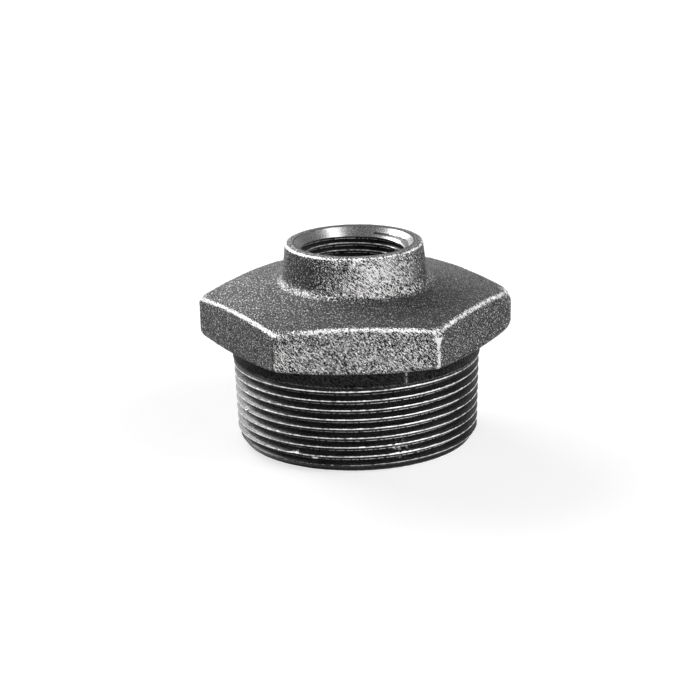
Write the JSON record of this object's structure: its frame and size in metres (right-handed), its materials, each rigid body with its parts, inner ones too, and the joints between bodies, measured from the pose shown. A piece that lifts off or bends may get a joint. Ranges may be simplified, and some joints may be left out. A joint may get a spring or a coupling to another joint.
{
  "type": "pipe reducer",
  "caption": "Hexagon reducing bush in malleable cast iron: taper male thread below, spanner hexagon, and a raised boss with a smaller threaded socket.",
  "frame": {"origin": "centre of the male end face, on the pipe axis", "axes": "+Z along the pipe axis from the male end to the socket, and -Y out of the middle of one hexagon flat"},
  "size_m": [0.0756, 0.066, 0.0488],
  "materials": {
    "cast_iron": "dark sand-cast skin, with bright machined thread crests and countersink"
  },
  "bodies": {
    "root": {"reducer_body": "cast_iron"}
  },
  "joints": []
}
